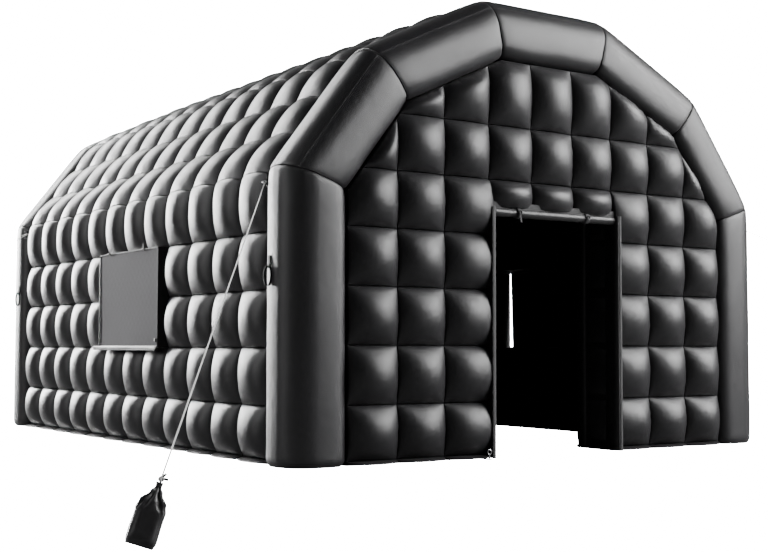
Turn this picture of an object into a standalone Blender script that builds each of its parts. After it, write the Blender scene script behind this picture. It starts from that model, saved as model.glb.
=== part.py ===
"""Inflatable party tent: black quilted walls and roof between two air-filled arches, held by four guy ropes."""
import math

import bmesh
import bpy
from mathutils import Matrix, Vector

# Driving dimensions in metres. X runs across the front, Y from the door to the back, Z up from the ground.
CELL = 0.44                # one quilted cushion across the front wall, and one row up it
COLUMN = 0.45              # one cushion along the sides and the roof
COLUMNS = 12
FRONT_COLUMNS = 9
WALL_ROWS = 5
ROOF_ROWS = 3              # rows on each of the five roof panels
TUBE_WIDTH = 0.51          # how far an arch reaches out from the room
TUBE_DEPTH = 0.465         # how deep an arch is along Y
FRONT_SET_BACK = 0.065     # seam plane of the front wall behind the face of its arch
WALL_OUT = 0.396           # seam plane of the side walls and the roof, out from the room
WALL_IN = 0.06             # their inner seams
END_THICK = 0.40           # thickness of the front and rear walls at their seams
CUSHION = 0.13             # how far a cushion stands out from its seams
INNER_CUSHION = 0.045      # how far it stands into the room on the inner face
SLOPE = 0.08               # width of its sloping border
HEM = 0.03                 # flat hem along the ground
TOUCH = 0.0003             # gap between pieces that touch

# The room's outline, which is the inner face of both arches, from the left foot round to the right foot.
HALF_ROOM = FRONT_COLUMNS * CELL / 2
EAVE = 2.02
SHOULDER = (1.43, 2.74)
CROWN = (0.515, 3.18)
ROOM = [
    Vector((-HALF_ROOM, 0.0)),
    Vector((-HALF_ROOM, EAVE)),
    Vector((-SHOULDER[0], SHOULDER[1])),
    Vector((-CROWN[0], CROWN[1])),
    Vector(CROWN),
    Vector(SHOULDER),
    Vector((HALF_ROOM, EAVE)),
    Vector((HALF_ROOM, 0.0)),
]
ARCH_PIECES = ["post_left", "slope_left", "pitch_left", "crown", "pitch_right", "slope_right", "post_right"]
ROOF_PIECES = ["roof_slope_left", "roof_pitch_left", "roof_crown", "roof_pitch_right", "roof_slope_right"]

LENGTH = COLUMNS * COLUMN + 2 * TUBE_DEPTH
SIDE_HALF = COLUMNS * COLUMN / 2
ARCH_Y = SIDE_HALF + TUBE_DEPTH / 2
END_SEAM_Y = LENGTH / 2 - FRONT_SET_BACK

# The doorway is three cushions wide and four and a half high. Each window is three wide and two high.
DOOR_HALF = 1.5 * CELL
DOOR_TOP = 4.5 * CELL
END_WALL_TOP = WALL_ROWS * CELL
GABLE_ROW = 6              # seam across the gable, counted up from the ground
WINDOW_COLUMNS = (4, 7)
WINDOW_ROWS = (2, 4)
WINDOW_OUT = 0.54          # face of the window's mesh, out from the room
WINDOW_SHEET = 0.012

CURTAIN_RADIUS = 0.038
CURTAIN_HALF = DOOR_HALF - 0.002
CURTAIN_Y = -END_SEAM_Y - 0.045

# Sandbags stand out past each corner, and their ropes run to a ring near the top of each post.
BAG_X = 4.785
BAG_Y = 5.905
BAG_LENGTH = 0.28
BAG_LEAN = math.radians(20)   # each bag is pulled over towards the tent
BAG_TURN = math.radians(-20)
BAG_HALF_WIDTH = 0.0675
BAG_HALF_DEPTH = 0.0475
ROPE_RADIUS = 0.004
RING_RADIUS = 0.022
RING_WIRE = 0.0035
RING_HEIGHT = 2.09
KNOT_RADIUS = 0.014


def material(name, colour, roughness, metallic=0.0):
    """A plain Principled material."""
    new = bpy.data.materials.new(name)
    new.use_nodes = True
    shader = new.node_tree.nodes["Principled BSDF"]
    shader.inputs["Base Color"].default_value = (*colour, 1.0)
    shader.inputs["Roughness"].default_value = roughness
    shader.inputs["Metallic"].default_value = metallic
    return new


def finish(name, bm, finish_material, smooth=False):
    """Turn a bmesh into a named object."""
    bmesh.ops.recalc_face_normals(bm, faces=bm.faces[:])
    mesh = bpy.data.meshes.new(name)
    bm.to_mesh(mesh)
    bm.free()
    mesh.materials.append(finish_material)
    if smooth:
        mesh.shade_smooth()
        mesh.set_sharp_from_angle(angle=math.radians(40))
    piece = bpy.data.objects.new(name, mesh)
    bpy.context.scene.collection.objects.link(piece)
    return piece


def fuse(base, helpers):
    """Join hidden helper solids to a piece with Boolean unions."""
    for helper in helpers:
        helper.hide_render = True
        helper.display_type = "WIRE"
        union = base.modifiers.new(helper.name, "BOOLEAN")
        union.operation = "UNION"
        union.solver = "EXACT"
        union.object = helper


def room_edge_normal(k):
    """Outward direction of the room's edge from corner k."""
    along = (ROOM[k + 1] - ROOM[k]).normalized()
    return Vector((-along.y, along.x))


def offset(k, out):
    """Corner k of the room's outline moved out from the room, on the mitre between its two edges."""
    if k == 0:
        return ROOM[0] + out * room_edge_normal(0)
    if k == len(ROOM) - 1:
        return ROOM[k] + out * room_edge_normal(k - 1)
    before = room_edge_normal(k - 1)
    after = room_edge_normal(k)
    return ROOM[k] + (before + after) * (out / (1.0 + before.dot(after)))


def along_edge(k, share, out):
    """Point on edge k of the outline at a share of its length, moved out from the room."""
    return offset(k, out).lerp(offset(k + 1, out), share)


TUBE_SIDES = 16
SQUARENESS = 3.0           # 2 is an ellipse, more is a squarer section


def tube_section():
    """Points round an arch's section: how far out from the room, and how far along Y from its middle."""
    points = []
    for i in range(TUBE_SIDES):
        turn = 2 * math.pi * (i + 0.5) / TUBE_SIDES
        c = math.cos(turn)
        s = math.sin(turn)
        out = math.copysign(abs(c) ** (2 / SQUARENESS), c)
        deep = math.copysign(abs(s) ** (2 / SQUARENESS), s)
        points.append((out, deep))
    widest = max(point[0] for point in points)
    return [(out / widest * TUBE_WIDTH / 2, deep / widest * TUBE_DEPTH / 2) for out, deep in points]


def loft(bm, rings):
    """Skin closed rings of equal count into one capped solid."""
    loops = [[bm.verts.new(point) for point in ring] for ring in rings]
    count = len(loops[0])
    for low, high in zip(loops[:-1], loops[1:]):
        for i in range(count):
            j = (i + 1) % count
            bm.faces.new((low[i], low[j], high[j], high[i]))
    bm.faces.new(reversed(loops[0]))
    bm.faces.new(loops[-1])


def arch(end, middle_y, cloth):
    """One arch: two posts and five roof tubes that meet at sewn mitres, each tube drawn in at its seams."""
    for k, part in enumerate(ARCH_PIECES):
        length = (ROOM[k + 1] - ROOM[k]).length
        touch = TOUCH / 2 / length
        rings = []
        for share, swell in ((touch, 0.93), (0.04, 1.0), (0.96, 1.0), (1 - touch, 0.93)):
            ring = []
            for out, deep in tube_section():
                point = along_edge(k, share, TUBE_WIDTH / 2 + out * swell)
                ring.append((point.x, middle_y + deep * swell, point.y))
            rings.append(ring)
        bm = bmesh.new()
        loft(bm, rings)
        finish(f"{end}_{part}", bm, cloth, smooth=True)


def cushion(area, perimeter, full_rise):
    """Width of a cushion's sloping border and its rise, from the size of its cell."""
    width = min(0.7 * area / perimeter, SLOPE)
    return width, full_rise * width / SLOPE


def raise_cushions(bm, direction, full_rise):
    """Raise a cushion in every cell that faces a direction, apart from narrow hems."""
    for face in [f for f in bm.faces if f.normal.dot(direction) > 0.999]:
        width, rise = cushion(face.calc_area(), face.calc_perimeter(), full_rise)
        if width > HEM / 2:
            bmesh.ops.inset_individual(bm, faces=[face], thickness=width, depth=rise)


def quilted(name, outer, inner, cuts, cloth):
    """A slab between two outlines, both faces cut along the seams and every cushion raised."""
    bm = bmesh.new()
    out = [bm.verts.new(point) for point in outer]
    inn = [bm.verts.new(point) for point in inner]
    bm.faces.new(out)
    bm.faces.new(reversed(inn))
    count = len(out)
    for i in range(count):
        j = (i + 1) % count
        bm.faces.new((out[j], out[i], inn[i], inn[j]))
    bmesh.ops.recalc_face_normals(bm, faces=bm.faces[:])
    middle_out = sum(outer, Vector()) / count
    middle_in = sum(inner, Vector()) / count
    for point, normal in cuts:
        everything = bm.verts[:] + bm.edges[:] + bm.faces[:]
        bmesh.ops.bisect_plane(bm, geom=everything, dist=1e-6, plane_co=point, plane_no=normal)
    outward = (outer[1] - outer[0]).cross(outer[-1] - outer[0]).normalized()
    if outward.dot(middle_out - middle_in) < 0:
        outward.negate()
    raise_cushions(bm, outward, CUSHION)
    raise_cushions(bm, -outward, INNER_CUSHION)
    return finish(name, bm, cloth)


def side_cuts(k, rows):
    """Seam planes of a side or roof panel: across it at each column, and along it at each row."""
    cuts = [(Vector((0, -SIDE_HALF + i * COLUMN, 0)), Vector((0, 1, 0))) for i in range(1, COLUMNS)]
    direction = ROOM[k + 1] - ROOM[k]
    normal = Vector((direction.x, 0, direction.y)).normalized()
    for i in range(1, rows):
        point = along_edge(k, i / rows, WALL_OUT)
        cuts.append((Vector((point.x, 0, point.y)), normal))
    return cuts


def panel_end(k, share, out):
    """Where a panel's end lies at a distance out: on the mitre at the edge's own ends, square to it between."""
    if 0.01 < share < 0.99:
        return along_edge(k, share, WALL_OUT) + (out - WALL_OUT) * room_edge_normal(k)
    return along_edge(k, share, out)


def panel_outline(k, low, high, front, back, out):
    """Four corners of a panel on edge k, between two shares of the edge and two places along Y."""
    a = panel_end(k, low, out)
    b = panel_end(k, high, out)
    return [Vector((a.x, front, a.y)), Vector((a.x, back, a.y)), Vector((b.x, back, b.y)), Vector((b.x, front, b.y))]


def side_panel(name, k, rows, span, columns, cloth):
    """A quilted panel on edge k of the outline, from one row to another and one column to another."""
    low, high = span
    touch = TOUCH / 2 / (ROOM[k + 1] - ROOM[k]).length
    ends = (low / rows + touch, high / rows - touch)
    if k == 0 and low == 0:
        ends = (0.0, ends[1])
    if k == len(ROOM) - 2 and high == rows:
        ends = (ends[0], 1.0)
    front = -SIDE_HALF + columns[0] * COLUMN + TOUCH
    back = -SIDE_HALF + columns[1] * COLUMN - TOUCH
    outer = panel_outline(k, *ends, front, back, WALL_OUT)
    inner = panel_outline(k, *ends, front, back, WALL_IN)
    cuts = side_cuts(k, rows)
    if k in (0, len(ROOM) - 2):
        cuts.append((Vector((0, 0, HEM)), Vector((0, 0, 1))))
    quilted(name, outer, inner, cuts, cloth)


def side_wall(side, k, cloth, mesh_cloth):
    """A side wall in four panels round its window, and the window's stretched mesh box."""
    first, last = WINDOW_COLUMNS
    low, high = WINDOW_ROWS
    if k == 0:
        spans = {"front": (0, WALL_ROWS), "rear": (0, WALL_ROWS), "below": (0, low), "above": (high, WALL_ROWS)}
    else:
        below = (WALL_ROWS - low, WALL_ROWS)
        above = (0, WALL_ROWS - high)
        spans = {"front": (0, WALL_ROWS), "rear": (0, WALL_ROWS), "below": below, "above": above}
    side_panel(f"{side}_wall_front", k, WALL_ROWS, spans["front"], (0, first), cloth)
    side_panel(f"{side}_wall_rear", k, WALL_ROWS, spans["rear"], (last, COLUMNS), cloth)
    side_panel(f"{side}_wall_below_window", k, WALL_ROWS, spans["below"], WINDOW_COLUMNS, cloth)
    side_panel(f"{side}_wall_above_window", k, WALL_ROWS, spans["above"], WINDOW_COLUMNS, cloth)
    window(side, k, mesh_cloth)


def window(side, k, mesh_cloth):
    """The window: a shallow box of mesh cloth, open to the room, its face level with the cushions."""
    row = offset(1, WALL_OUT).y / WALL_ROWS
    bottom = WINDOW_ROWS[0] * row + 2 * TOUCH
    top = WINDOW_ROWS[1] * row - 2 * TOUCH
    front = -SIDE_HALF + WINDOW_COLUMNS[0] * COLUMN + 2 * TOUCH
    back = -SIDE_HALF + WINDOW_COLUMNS[1] * COLUMN - 2 * TOUCH
    sign = -1 if k == 0 else 1
    face_x = sign * (HALF_ROOM + WINDOW_OUT - CUSHION / 8)
    rim_x = sign * (HALF_ROOM + WALL_OUT - HEM)
    size = Vector((abs(face_x - rim_x), back - front, top - bottom))
    middle = Vector(((face_x + rim_x) / 2, (front + back) / 2, (bottom + top) / 2))
    bm = bmesh.new()
    bmesh.ops.create_cube(bm, size=1.0, matrix=Matrix.Translation(middle) @ Matrix.Diagonal((*size, 1)))
    room_side = [f for f in bm.faces if f.normal.x * sign < -0.9]
    bmesh.ops.inset_individual(bm, faces=room_side, thickness=WINDOW_SHEET)
    bmesh.ops.inset_individual(bm, faces=room_side, thickness=0.001, depth=-(size.x - WINDOW_SHEET))
    finish(f"{side}_window", bm, mesh_cloth)


def end_cuts():
    """Seam planes of the front and rear walls."""
    cuts = [(Vector(((i - FRONT_COLUMNS / 2) * CELL, 0, 0)), Vector((1, 0, 0))) for i in range(1, FRONT_COLUMNS)]
    cuts += [(Vector((0, 0, i * CELL)), Vector((0, 0, 1))) for i in range(1, GABLE_ROW + 1)]
    cuts.append((Vector((0, 0, HEM)), Vector((0, 0, 1))))
    return cuts


def end_panel(name, outline, seam_y, cloth):
    """A quilted panel of an end wall from its outline in X and Z. Its outer seams lie in the plane seam_y."""
    inward = -math.copysign(END_THICK, seam_y)
    outer = [Vector((x, seam_y, z)) for x, z in outline]
    inner = [Vector((x, seam_y + inward, z)) for x, z in outline]
    quilted(name, outer, inner, end_cuts(), cloth)


def eave_x(height):
    """Half width of the room at a height on its lower roof slope."""
    share = (height - EAVE) / (SHOULDER[1] - EAVE)
    return HALF_ROOM + share * (SHOULDER[0] - HALF_ROOM)


def gable_outline():
    """The end wall above its five full rows, up under the arch."""
    low = END_WALL_TOP + TOUCH
    right = [Vector((eave_x(low) - TOUCH, low)), offset(5, -TOUCH), offset(4, -TOUCH)]
    return right + [Vector((-point.x, point.y)) for point in reversed(right)]


def lower_outline(inner_edge, top):
    """Right-hand part of the end wall from a vertical edge out to the post."""
    high = top - TOUCH
    return [(inner_edge, 0.0), (HALF_ROOM - TOUCH, 0.0), (HALF_ROOM - TOUCH, EAVE - TOUCH),
            (eave_x(high) - 2 * TOUCH, high), (inner_edge, high)]


def front_wall(cloth):
    """The front wall: a panel each side of the doorway, one over it, and the gable."""
    right = lower_outline(DOOR_HALF, END_WALL_TOP)
    left = [(-x, z) for x, z in reversed(right)]
    edge = DOOR_HALF - TOUCH
    over = [(-edge, DOOR_TOP), (edge, DOOR_TOP), (edge, END_WALL_TOP - TOUCH), (-edge, END_WALL_TOP - TOUCH)]
    end_panel("front_wall_left", left, -END_SEAM_Y, cloth)
    end_panel("front_wall_right", right, -END_SEAM_Y, cloth)
    end_panel("front_wall_over_door", over, -END_SEAM_Y, cloth)
    end_panel("front_gable", gable_outline(), -END_SEAM_Y, cloth)


def rear_wall(cloth):
    """The rear wall, closed all over."""
    right = lower_outline(0.0, END_WALL_TOP)[1:-1]
    whole = right + [(-x, z) for x, z in reversed(right)]
    end_panel("rear_wall", whole, END_SEAM_Y, cloth)
    end_panel("rear_gable", gable_outline(), END_SEAM_Y, cloth)


def door_curtain(cloth):
    """The door's curtain rolled up under the head, with the flat strip that it hangs from."""
    bm = bmesh.new()
    turn = Matrix.Translation((0, CURTAIN_Y, DOOR_TOP - CURTAIN_RADIUS)) @ Matrix.Rotation(math.pi / 2, 4, "Y")
    bmesh.ops.create_cone(bm, cap_ends=True, segments=16, radius1=CURTAIN_RADIUS, radius2=CURTAIN_RADIUS,
                          depth=2 * CURTAIN_HALF, matrix=turn)
    roll = finish("door_curtain", bm, cloth, smooth=True)
    strip = bmesh.new()
    top = DOOR_TOP - TOUCH
    low = DOOR_TOP - CURTAIN_RADIUS
    back = -END_SEAM_Y + 0.03
    size = (2 * DOOR_HALF - 4 * TOUCH, back - CURTAIN_Y, top - low)
    place = Matrix.Translation((0, (back + CURTAIN_Y) / 2, (top + low) / 2))
    bmesh.ops.create_cube(strip, size=1.0, matrix=place @ Matrix.Diagonal((*size, 1)))
    fuse(roll, [finish("curtain_strip", strip, cloth)])


def door_anchor(steel):
    """Ground anchor at the left foot of the doorway: a webbing tab under a short ringed peg."""
    peg_x = -DOOR_HALF - 0.10
    tab_front = -END_SEAM_Y - 0.16
    tab_back = -END_SEAM_Y - TOUCH
    bm = bmesh.new()
    size = (0.03, tab_back - tab_front, 0.006)
    place = Matrix.Translation((peg_x, (tab_back + tab_front) / 2, 0.003))
    bmesh.ops.create_cube(bm, size=1.0, matrix=place @ Matrix.Diagonal((*size, 1)))
    tab = finish("door_anchor", bm, steel)
    peg_y = tab_front + 0.02
    peg = bmesh.new()
    bmesh.ops.create_cone(peg, cap_ends=True, segments=10, radius1=0.005, radius2=0.005, depth=0.044,
                          matrix=Matrix.Translation((peg_x, peg_y, 0.024)))
    ring = torus(Matrix.Translation((peg_x, peg_y, 0.060)) @ Matrix.Rotation(math.pi / 2, 4, "X"), 0.018, 0.004)
    fuse(tab, [finish("anchor_peg", peg, steel), finish("anchor_ring", ring, steel)])


def torus(place, radius, wire):
    """A closed ring in its own XY plane, spun from a small circle."""
    bm = bmesh.new()
    upright = Matrix.Translation((radius, 0, 0)) @ Matrix.Rotation(math.pi / 2, 4, "X")
    circle = bmesh.ops.create_circle(bm, segments=6, radius=wire, matrix=upright)
    edges = list({edge for vert in circle["verts"] for edge in vert.link_edges})
    bmesh.ops.spin(bm, geom=edges, cent=(0, 0, 0), axis=(0, 0, 1), angle=2 * math.pi, steps=12, use_merge=True)
    bmesh.ops.remove_doubles(bm, verts=bm.verts[:], dist=1e-5)
    bmesh.ops.recalc_face_normals(bm, faces=bm.faces[:])
    bmesh.ops.transform(bm, matrix=place, verts=bm.verts[:])
    return bm


def ring_seat(side, end):
    """Middle of the post's facet that carries the ring, and that facet's outward direction."""
    section = tube_section()
    first, second = Vector(section[1]), Vector(section[2])
    middle = (first + second) / 2
    normal = Vector((second.y - first.y, first.x - second.x)).normalized()
    point = Vector((side * (HALF_ROOM + TUBE_WIDTH / 2 + middle.x), end * (ARCH_Y - middle.y), RING_HEIGHT))
    return point, Vector((side * normal.x, -end * normal.y, 0))


def guy_rope(name, side, end, rope_cloth):
    """A taut rope from its tab and ring on the post to the knot over its sandbag, as one solid."""
    seat, normal = ring_seat(side, end)
    turn = normal.to_track_quat("Z", "Y").to_matrix().to_4x4()
    tab = bmesh.new()
    tab_place = Matrix.Translation(seat + normal * (0.004 + TOUCH)) @ turn
    bmesh.ops.create_cube(tab, size=1.0, matrix=tab_place @ Matrix.Diagonal((0.036, 0.06, 0.008, 1)))
    ring_middle = seat + normal * (0.006 + RING_RADIUS)
    knot_middle = bag_place(side, end) @ Vector((0, 0, BAG_LENGTH + KNOT_RADIUS + TOUCH))
    run = (knot_middle - ring_middle).normalized()
    ring_turn = normal.cross(run).normalized().to_track_quat("Z", "Y").to_matrix().to_4x4()
    ring = torus(Matrix.Translation(ring_middle) @ ring_turn, RING_RADIUS, RING_WIRE)
    start = ring_middle + run * RING_RADIUS
    length = (knot_middle - start).length
    bm = bmesh.new()
    place = Matrix.Translation((start + knot_middle) / 2) @ run.to_track_quat("Z", "Y").to_matrix().to_4x4()
    bmesh.ops.create_cone(bm, cap_ends=True, segments=8, radius1=ROPE_RADIUS, radius2=ROPE_RADIUS, depth=length,
                          matrix=place)
    rope = finish(name, bm, rope_cloth, smooth=True)
    knot = bmesh.new()
    bmesh.ops.create_uvsphere(knot, u_segments=8, v_segments=6, radius=KNOT_RADIUS,
                              matrix=Matrix.Translation(knot_middle))
    helpers = [finish(f"{name}_tab", tab, rope_cloth), finish(f"{name}_ring", ring, rope_cloth)]
    helpers.append(finish(f"{name}_knot", knot, rope_cloth))
    fuse(rope, helpers)


def bag_ring(height, wide, deep):
    """Points round a bag's rounded rectangular section, with its size as shares of the widest."""
    ring = []
    for i in range(16):
        turn = 2 * math.pi * (i + 0.5) / 16
        c, s = math.cos(turn), math.sin(turn)
        x = math.copysign(abs(c) ** 0.5, c) * BAG_HALF_WIDTH * wide
        y = math.copysign(abs(s) ** 0.5, s) * BAG_HALF_DEPTH * deep
        ring.append(Vector((x, y, height)))
    return ring


def bag_place(side, end):
    """Where a bag stands: turned, leaning towards the tent, its lowest point on the ground."""
    lean = Matrix.Rotation(-side * BAG_LEAN, 4, "Y")
    turn = Matrix.Rotation(side * end * BAG_TURN, 4, "Z")
    lowest = min((lean @ turn @ point).z for point in bag_ring(0.0, *BAG_LEVELS[0][1:]))
    return Matrix.Translation((side * BAG_X, end * BAG_Y, -lowest)) @ lean @ turn


# Height up the bag, then its width and its depth there as shares of the widest.
BAG_LEVELS = [(0.0, 0.90, 0.85), (0.03, 1.0, 1.0), (0.15, 0.98, 0.95), (0.19, 0.78, 0.80), (0.235, 0.36, 0.48),
              (0.262, 0.14, 0.22), (BAG_LENGTH, 0.22, 0.34)]


def sandbag(name, side, end, cloth):
    """A filled bag on the ground, gathered to a tied neck."""
    place = bag_place(side, end)
    bm = bmesh.new()
    loft(bm, [[place @ point for point in bag_ring(*level)] for level in BAG_LEVELS])
    finish(name, bm, cloth, smooth=True)


def air_inlet(cloth):
    """The blower's sleeve at the back, tied off: a short limp tube from the rear wall, lying on the ground."""
    start = END_SEAM_Y + cushion(CELL * (CELL - HEM), 4 * CELL - 2 * HEM, CUSHION)[1] + TOUCH
    x = 3 * CELL
    stations = [(0.0, 0.075, 0.075), (0.06, 0.080, 0.078), (0.30, 0.085, 0.066), (0.46, 0.050, 0.030),
                (0.50, 0.020, 0.018), (0.56, 0.045, 0.022)]
    rings = []
    for out, wide, high in stations:
        ring = []
        for i in range(12):
            turn = 2 * math.pi * (i + 0.5) / 12
            ring.append((x + wide * math.cos(turn), start + out, TOUCH + high + high * math.sin(turn)))
        rings.append(ring)
    bm = bmesh.new()
    loft(bm, rings)
    finish("air_inlet_sleeve", bm, cloth, smooth=True)


def build():
    """Clear the scene and make every piece."""
    for old in list(bpy.data.objects):
        bpy.data.objects.remove(old, do_unlink=True)
    black_cloth = material("black_coated_cloth", (0.020, 0.019, 0.022), 0.45)
    mesh_cloth = material("window_mesh", (0.045, 0.045, 0.050), 0.70)
    steel = material("bare_steel", (0.60, 0.60, 0.60), 0.35, metallic=1.0)
    rope_cloth = material("white_rope", (0.80, 0.80, 0.78), 0.70)
    arch("front", -ARCH_Y, black_cloth)
    arch("rear", ARCH_Y, black_cloth)
    side_wall("left", 0, black_cloth, mesh_cloth)
    side_wall("right", len(ROOM) - 2, black_cloth, mesh_cloth)
    for k, name in enumerate(ROOF_PIECES, start=1):
        side_panel(name, k, ROOF_ROWS, (0, ROOF_ROWS), (0, COLUMNS), black_cloth)
    front_wall(black_cloth)
    rear_wall(black_cloth)
    door_curtain(black_cloth)
    door_anchor(steel)
    air_inlet(black_cloth)
    for end_name, end in (("front", -1), ("rear", 1)):
        for side_name, side in (("left", -1), ("right", 1)):
            guy_rope(f"guy_rope_{end_name}_{side_name}", side, end, rope_cloth)
            sandbag(f"sandbag_{end_name}_{side_name}", side, end, black_cloth)


build()
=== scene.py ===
"""Looks of the inflatable party tent: quilted cloth, arches, window mesh, rolled door curtain, guys and sandbags."""
import math

import bmesh
import bpy
from mathutils import Matrix, Vector, noise


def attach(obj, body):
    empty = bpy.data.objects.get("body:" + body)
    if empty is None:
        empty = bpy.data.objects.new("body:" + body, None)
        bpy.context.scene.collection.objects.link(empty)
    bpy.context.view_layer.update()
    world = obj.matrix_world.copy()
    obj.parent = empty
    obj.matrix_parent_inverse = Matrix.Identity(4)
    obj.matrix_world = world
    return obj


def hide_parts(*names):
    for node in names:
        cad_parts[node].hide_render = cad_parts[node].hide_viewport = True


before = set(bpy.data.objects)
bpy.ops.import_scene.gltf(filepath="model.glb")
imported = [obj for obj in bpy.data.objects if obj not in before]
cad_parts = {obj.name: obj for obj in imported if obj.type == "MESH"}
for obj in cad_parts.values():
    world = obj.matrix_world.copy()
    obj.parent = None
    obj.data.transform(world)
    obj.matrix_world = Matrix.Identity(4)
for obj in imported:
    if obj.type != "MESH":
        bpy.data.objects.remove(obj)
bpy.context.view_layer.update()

# Driving dimensions in metres. X runs across the front, Y from the door to the back, Z up from the ground.
CELL = 0.44                # one cushion across the front wall, and one row up it
COLUMN = 0.45              # one cushion along the sides and the roof
COLUMNS = 12
FRONT_COLUMNS = 9
WALL_ROWS = 5
ROOF_ROWS = 3
TUBE_WIDTH = 0.51
TUBE_DEPTH = 0.465
FRONT_SET_BACK = 0.065
WALL_OUT = 0.396           # outer seams of the side walls and the roof, out from the room
WALL_IN = 0.06             # their inner seams
END_THICK = 0.40           # between the two seam planes of the front and rear walls
CUSHION = 0.13
INNER_CUSHION = 0.045
HEM = 0.03

# The room's outline, from the left foot round to the right foot.
HALF_ROOM = FRONT_COLUMNS * CELL / 2
EAVE = 2.02
SHOULDER = (1.43, 2.74)
CROWN = (0.515, 3.18)
ROOM = [
    Vector((-HALF_ROOM, 0.0)),
    Vector((-HALF_ROOM, EAVE)),
    Vector((-SHOULDER[0], SHOULDER[1])),
    Vector((-CROWN[0], CROWN[1])),
    Vector(CROWN),
    Vector(SHOULDER),
    Vector((HALF_ROOM, EAVE)),
    Vector((HALF_ROOM, 0.0)),
]
LAST_EDGE = len(ROOM) - 2
ARCH_PIECES = ["post_left", "slope_left", "pitch_left", "crown", "pitch_right", "slope_right", "post_right"]
ROOF_PIECES = ["roof_slope_left", "roof_pitch_left", "roof_crown", "roof_pitch_right", "roof_slope_right"]

SIDE_HALF = COLUMNS * COLUMN / 2
ARCH_Y = SIDE_HALF + TUBE_DEPTH / 2
END_SEAM_Y = SIDE_HALF + TUBE_DEPTH - FRONT_SET_BACK

DOOR_HALF = 1.5 * CELL
DOOR_TOP = 4.5 * CELL
WINDOW_COLUMNS = (4, 7)
WINDOW_ROWS = (2, 4)
WINDOW_FACE = 0.520        # face of the window's mesh, out from the room
CURTAIN_RADIUS = 0.037
CURTAIN_Y = -END_SEAM_Y - 0.045
CURTAIN_Z = DOOR_TOP - 0.038

BAG_X = 4.785
BAG_Y = 5.905
BAG_LENGTH = 0.28
BAG_LEAN = math.radians(20)
BAG_TURN = math.radians(-20)
BAG_HALF_WIDTH = 0.0675
BAG_HALF_DEPTH = 0.0475
ROPE_RADIUS = 0.004
RING_RADIUS = 0.022
RING_WIRE = 0.0035
RING_HEIGHT = 2.09
KNOT_RADIUS = 0.014

CELL_STEPS = 16            # mesh steps across one cushion


# Node groups shared by the finishes

def new_group(name, inputs, outputs):
    """An empty shader node group with named sockets, its input and output nodes placed."""
    group = bpy.data.node_groups.new(name, "ShaderNodeTree")
    for label, kind, value in inputs:
        socket = group.interface.new_socket(name=label, in_out="INPUT", socket_type=kind)
        if value is not None:
            socket.default_value = value
    for label, kind in outputs:
        group.interface.new_socket(name=label, in_out="OUTPUT", socket_type=kind)
    return group, group.nodes.new("NodeGroupInput"), group.nodes.new("NodeGroupOutput")


def math_node(tree, operation, first, second=None, clamp=False):
    """A Math node fed by sockets or plain numbers. Returns its output socket."""
    node = tree.nodes.new("ShaderNodeMath")
    node.operation = operation
    node.use_clamp = clamp
    for socket, value in zip(node.inputs, (first, second)):
        if value is None:
            continue
        if isinstance(value, (int, float)):
            socket.default_value = value
        else:
            tree.links.new(value, socket)
    return node.outputs[0]


def range_node(tree, value, low, high, to_low=0.0, to_high=1.0):
    """A clamped, smooth Map Range from one span of values to another."""
    node = tree.nodes.new("ShaderNodeMapRange")
    node.interpolation_type = "SMOOTHSTEP"
    node.inputs["From Min"].default_value = low
    node.inputs["From Max"].default_value = high
    node.inputs["To Min"].default_value = to_low
    node.inputs["To Max"].default_value = to_high
    tree.links.new(value, node.inputs["Value"])
    return node.outputs["Result"]


def noise_node(tree, vector, scale, detail=3.0, roughness=0.5):
    """A Noise texture on a vector. Returns its value."""
    node = tree.nodes.new("ShaderNodeTexNoise")
    node.inputs["Scale"].default_value = scale
    node.inputs["Detail"].default_value = detail
    node.inputs["Roughness"].default_value = roughness
    tree.links.new(vector, node.inputs["Vector"])
    return node.outputs["Fac"]


def weave_group():
    """Plain weave on a flat position in metres: threads over and under at a pitch."""
    group, start, end = new_group(
        "plain_weave",
        [("Flat", "NodeSocketVector", None), ("Pitch", "NodeSocketFloat", 0.002)],
        [("Thread", "NodeSocketFloat")])
    split = group.nodes.new("ShaderNodeSeparateXYZ")
    group.links.new(start.outputs["Flat"], split.inputs[0])
    turns = math_node(group, "DIVIDE", 2 * math.pi, start.outputs["Pitch"])
    across = math_node(group, "SINE", math_node(group, "MULTIPLY", split.outputs[0], turns))
    along = math_node(group, "SINE", math_node(group, "MULTIPLY", split.outputs[1], turns))
    woven = math_node(group, "MULTIPLY", across, along)
    half = math_node(group, "MULTIPLY", woven, 0.5)
    group.links.new(math_node(group, "ADD", half, 0.5), end.inputs["Thread"])
    return group


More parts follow.
